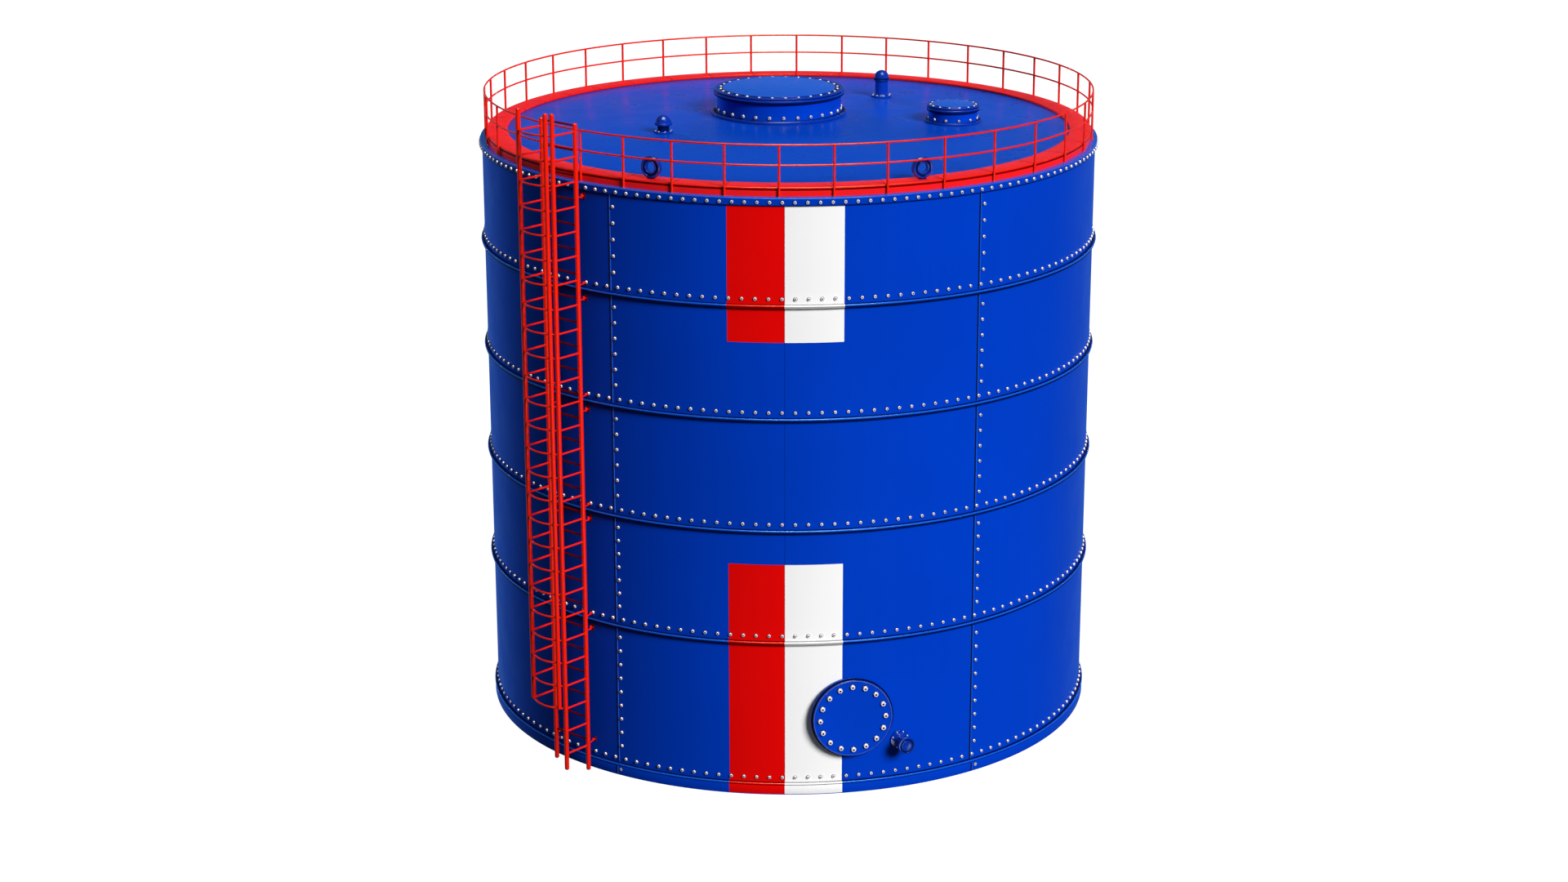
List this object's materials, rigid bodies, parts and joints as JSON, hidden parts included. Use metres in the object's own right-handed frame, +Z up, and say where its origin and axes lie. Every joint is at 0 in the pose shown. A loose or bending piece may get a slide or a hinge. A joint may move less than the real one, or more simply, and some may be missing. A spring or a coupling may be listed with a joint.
{
  "type": "vertical storage tank",
  "caption": "Vertical cylindrical steel storage tank with stiffening rings, flat roof with hatches and vents, edge walkway with guard rail, and a caged side ladder.",
  "frame": {"origin": "on the ground at the centre of the shell, on the underside of the floor plate", "axes": "+Z up along the shell's axis; -Y is the front, with the paint stripes; the ladder is on the left, between -Y and -X"},
  "size_m": [8.6359, 8.7353, 9.14],
  "materials": {
    "blue_paint": "satin blue paint",
    "red_paint": "satin red paint",
    "white_paint": "satin white paint",
    "zinc_steel": "zinc-plated bolt and rivet heads"
  },
  "bodies": {
    "root": {"floor_plate": "blue_paint", "shell_plate_1": "blue_paint", "shell_plate_2": "blue_paint", "shell_plate_3": "blue_paint", "shell_plate_4": "blue_paint", "shell_plate_5": "blue_paint", "shell_plate_6": "blue_paint", "shell_plate_7": "blue_paint", "base_ring": "blue_paint", "stiffening_ring_1": "blue_paint", "stiffening_ring_2": "blue_paint", "stiffening_ring_3": "blue_paint", "stiffening_ring_4": "blue_paint", "top_flange": "blue_paint", "roof_plate": "blue_paint", "walkway": "red_paint", "guard_rail_panel_1": "red_paint", "guard_rail_panel_2": "red_paint", "guard_rail_panel_3": "red_paint", "guard_rail_panel_4": "red_paint", "guard_rail_panel_5": "red_paint", "guard_rail_panel_6": "red_paint", "guard_rail_panel_7": "red_paint", "guard_rail_panel_8": "red_paint", "guard_rail_panel_9": "red_paint", "ladder": "red_paint", "cage_left_side": "red_paint", "cage_right_side": "red_paint", "cage_front": "red_paint", "manhole_neck": "blue_paint", "manhole_cover": "blue_paint", "drain_nozzle": "blue_paint", "roof_hatch_curb": "blue_paint", "roof_hatch_lid": "blue_paint", "side_hatch_curb": "blue_paint", "side_hatch_lid": "blue_paint", "vent_pipe": "blue_paint", "vent_cap": "blue_paint", "side_vent": "blue_paint", "roof_eye_left": "blue_paint", "roof_eye_right": "blue_paint"}
  },
  "joints": []
}
